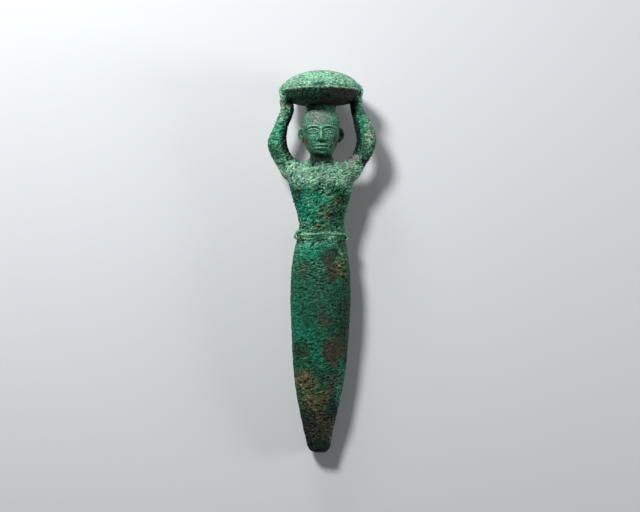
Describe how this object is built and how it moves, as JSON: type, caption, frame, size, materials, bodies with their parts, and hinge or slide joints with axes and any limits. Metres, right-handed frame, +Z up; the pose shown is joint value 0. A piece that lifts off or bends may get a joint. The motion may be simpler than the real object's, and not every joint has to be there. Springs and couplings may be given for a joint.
{
  "type": "foundation figure",
  "caption": "Cast copper-alloy peg figure of a basket bearer: tapering skirt, bare torso, raised arms holding a heaped basket on the head. It lies on its back.",
  "frame": {"origin": "on the surface that the figure lies on, under the middle of its outline", "axes": "+Z up from the surface, +Y from the tip of the peg to the basket, +X to the right as one looks at the chest"},
  "size_m": [0.0768, 0.2718, 0.0562],
  "materials": {
    "copper_alloy_patina": "cast copper alloy under a rough green and brown burial crust"
  },
  "bodies": {
    "root": {"figure": "copper_alloy_patina"}
  },
  "joints": []
}
